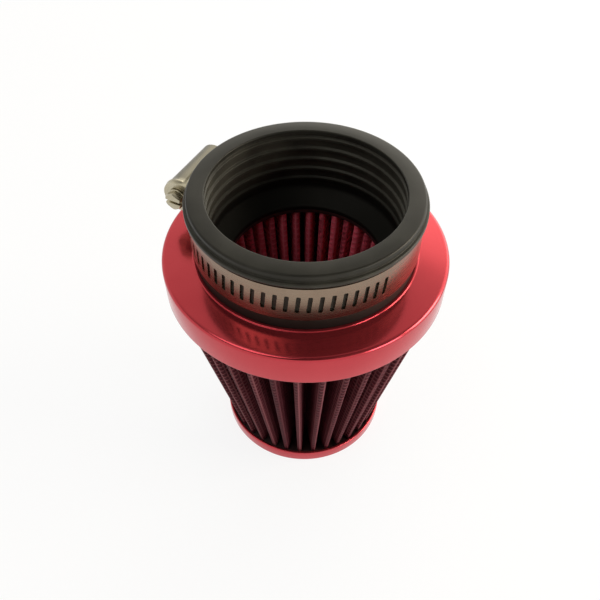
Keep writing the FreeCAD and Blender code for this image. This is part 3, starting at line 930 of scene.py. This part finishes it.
def build_filter():
    red = anodised_aluminium()
    potting = potting_compound()
    zinc = zinc_plate()
    dress(end_cap(), red, "end_cap")
    dress(collar(), red, "collar")
    dress(inlet_neck(), moulded_rubber(), "inlet_neck")
    dress(lower_seal(), potting, "lower_seal")
    dress(upper_seal(), potting, "upper_seal")
    # The light ends of these colours paint the highlight on the outer ridges, and the dark ends paint the
    # shade in the flanks
    outer_wire = wire_screen("outer_wire_on_gauze", 1, ("#2A0A10", "#521822"), ("#54222A", "#92585C"))
    # The inner screen's colours are lightened far past the gauze's own red: painted glow for the light
    # that shines through the pleats into the filter
    inner_wire = wire_screen("inner_wire_on_gauze", 0, ("#5A1E26", "#F06074"), ("#9A3C48", "#F87C8C"))
    dress(pleat_layer("outer_wire_screen", 0.0, SCREEN_T), outer_wire, "outer_screen")
    dress(pleat_layer("folded_gauze", SCREEN_T, GAUZE_T), cotton_gauze(), "gauze_pleats")
    dress(pleat_layer("inner_wire_screen", SCREEN_T + GAUZE_T, SCREEN_T), inner_wire, "inner_screen")
    dress(clamp_band(), rolled_stainless(), "clamp_band")
    dress(clamp_housing(), zinc, "clamp_housing")
    dress(clamp_screw(), zinc, "clamp_screw", "screw")


# Studio

CAMERA_MM = (0.0, -121.0, 182.9)
CAMERA_PITCH = math.radians(48.38)
CAMERA_YAW = math.radians(-0.65)
CAMERA_ROLL = math.radians(0.23)
FOCAL_PX = 650.0
FRAME_PX = 600.0
SENSOR_W = 36.0

# Near end of the view, stage and lamps in metres
NEAR_CLIP = 0.01
FLOOR_W = 4.0
BACKDROP_R = 1.95
BACKDROP_H = 1.0
WHITE_SHARE = 0.85  # how much of the paper is plain white where it is seen
# Side and strength of each soft glow of the room
ROOM_GLOW = (((0, 1, 0), 1.15), ((-1, 0, 0), 0.45), ((1, 0, 0), 0.3))
# Name, place, aim, width and height, watts and colour of each lamp
LAMPS = (
    ("window", (0.3, 1.0, 0.45), (0, 0, 0.07), (1.6, 0.5), 5.0, "#FFFBEF"),
    ("side_window", (0.75, 0.8, 0.52), (0, 0, 0.07), (1.8, 0.95), 6.0, "#FFFBEF"),
    ("key_softbox", (-0.36, -0.22, 0.85), (0, 0, 0.06), (0.5, 0.5), 1.6, "#FFFFFF"),
    ("right_softbox", (0.9, 0.0, 0.35), (0, 0, 0.05), (0.5, 0.5), 7.0, "#FFF4E4"),
    ("low_softbox", (0.6, -0.45, 0.15), (0, 0, 0.04), (0.3, 0.2), 1.6, "#FFFFFF"),
)


def photo_camera():
    data = bpy.data.cameras.new("photo_camera")
    camera = bpy.data.objects.new("photo_camera", data)
    bpy.context.collection.objects.link(camera)
    ahead = Vector((math.sin(CAMERA_YAW) * math.cos(CAMERA_PITCH),
                    math.cos(CAMERA_YAW) * math.cos(CAMERA_PITCH), -math.sin(CAMERA_PITCH)))
    level = ahead.cross(UP).normalized()
    top = level.cross(ahead)
    right = level * math.cos(CAMERA_ROLL) + top * math.sin(CAMERA_ROLL)
    top = top * math.cos(CAMERA_ROLL) - level * math.sin(CAMERA_ROLL)
    turn = Matrix((right, top, -ahead)).transposed().to_4x4()
    camera.matrix_world = Matrix.Translation(mm(*CAMERA_MM)) @ turn
    data.sensor_width = SENSOR_W
    data.lens = FOCAL_PX / FRAME_PX * SENSOR_W
    data.clip_start = NEAR_CLIP
    bpy.context.scene.camera = camera


def softbox(name, place, target, size, watts, colour):
    data = bpy.data.lights.new(name, "AREA")
    data.shape = "RECTANGLE"
    data.size, data.size_y = size
    data.energy = watts
    data.color = linear(colour)[:3]
    lamp = bpy.data.objects.new(name, data)
    bpy.context.collection.objects.link(lamp)
    lamp.location = place
    lamp.rotation_euler = (Vector(target) - Vector(place)).to_track_quat("-Z", "Y").to_euler()


def white_where_seen(tree, dull, share):
    """The dull shader with a share of plain white for the camera and in reflections."""
    path = add(tree, "ShaderNodeLightPath")
    seen = path.outputs["Is Camera Ray"]
    for other in ("Is Glossy Ray", "Is Transmission Ray"):
        seen = add(tree, "ShaderNodeMath", {0: seen, 1: path.outputs[other]},
                   operation="MAXIMUM").outputs[0]
    part = add(tree, "ShaderNodeMath", {0: seen, 1: share}, operation="MULTIPLY").outputs[0]
    white = add(tree, "ShaderNodeEmission", {"Color": (1, 1, 1, 1), "Strength": 1.0})
    return add(tree, "ShaderNodeMixShader", {0: part, 1: dull, 2: white.outputs[0]}).outputs[0]


def studio_paper():
    """White studio paper: matte, faintly fibrous, plain white where it is seen."""
    paper, tree, shader = new_material("white_studio_paper")
    place = add(tree, "ShaderNodeTexCoord").outputs["Object"]
    fibre = add(tree, "ShaderNodeTexNoise", {"Vector": place, "Scale": per_mm(PAPER_FIBRE), "Detail": 2.0})
    colour = add(tree, "ShaderNodeMix", {"Factor": fibre.outputs["Fac"], MIX_FROM: linear("#FAFAFA"),
                                         MIX_TO: linear("#FFFFFF")}, data_type="RGBA")
    tree.links.new(colour.outputs[MIXED], shader.inputs["Base Color"])
    shader.inputs["Roughness"].default_value = 0.9
    seen = white_where_seen(tree, shader.outputs[0], WHITE_SHARE)
    tree.links.new(seen, tree.nodes["Material Output"].inputs["Surface"])
    return paper


def stage():
    """Paper floor, and a ring of paper that closes the view at the horizon.

    The ring lets the room's light through to the filter.
    """
    paper = studio_paper()
    bpy.ops.object.select_all(action="DESELECT")
    bpy.ops.mesh.primitive_plane_add(size=FLOOR_W)
    floor = fresh("studio_floor")
    floor.data.materials.append(paper)
    bpy.ops.object.select_all(action="DESELECT")
    bpy.ops.mesh.primitive_cylinder_add(vertices=TURN_STEPS, radius=BACKDROP_R, depth=BACKDROP_H,
                                        end_fill_type="NOTHING", location=(0, 0, BACKDROP_H / 2))
    bpy.ops.object.transform_apply(location=True, rotation=True, scale=True)
    backdrop = fresh("studio_backdrop")
    backdrop.data.materials.append(paper)
    backdrop.visible_diffuse = False
    backdrop.visible_shadow = False


def room_light():
    """The room glows behind the filter and a little at its sides, and is dark in front of it."""
    world = bpy.data.worlds.new("studio_world")
    bpy.context.scene.world = world
    world.use_nodes = True
    tree = world.node_tree
    direction = add(tree, "ShaderNodeTexCoord").outputs["Generated"]
    glow = 0.0
    for side, strength in ROOM_GLOW:
        towards = add(tree, "ShaderNodeVectorMath", {0: direction, 1: side}, operation="DOT_PRODUCT")
        part = add(tree, "ShaderNodeMapRange", {"Value": towards.outputs["Value"], "To Max": strength})
        glow = add(tree, "ShaderNodeMath", {0: glow, 1: part.outputs["Result"]},
                   operation="ADD").outputs[0]
    tree.links.new(glow, tree.nodes["Background"].inputs["Strength"])
    tree.nodes["Background"].inputs["Color"].default_value = linear("#FFFDF6")


build_filter()
stage()
room_light()
for lamp in LAMPS:
    softbox(*lamp)
photo_camera()
bpy.context.scene.view_settings.view_transform = "Standard"
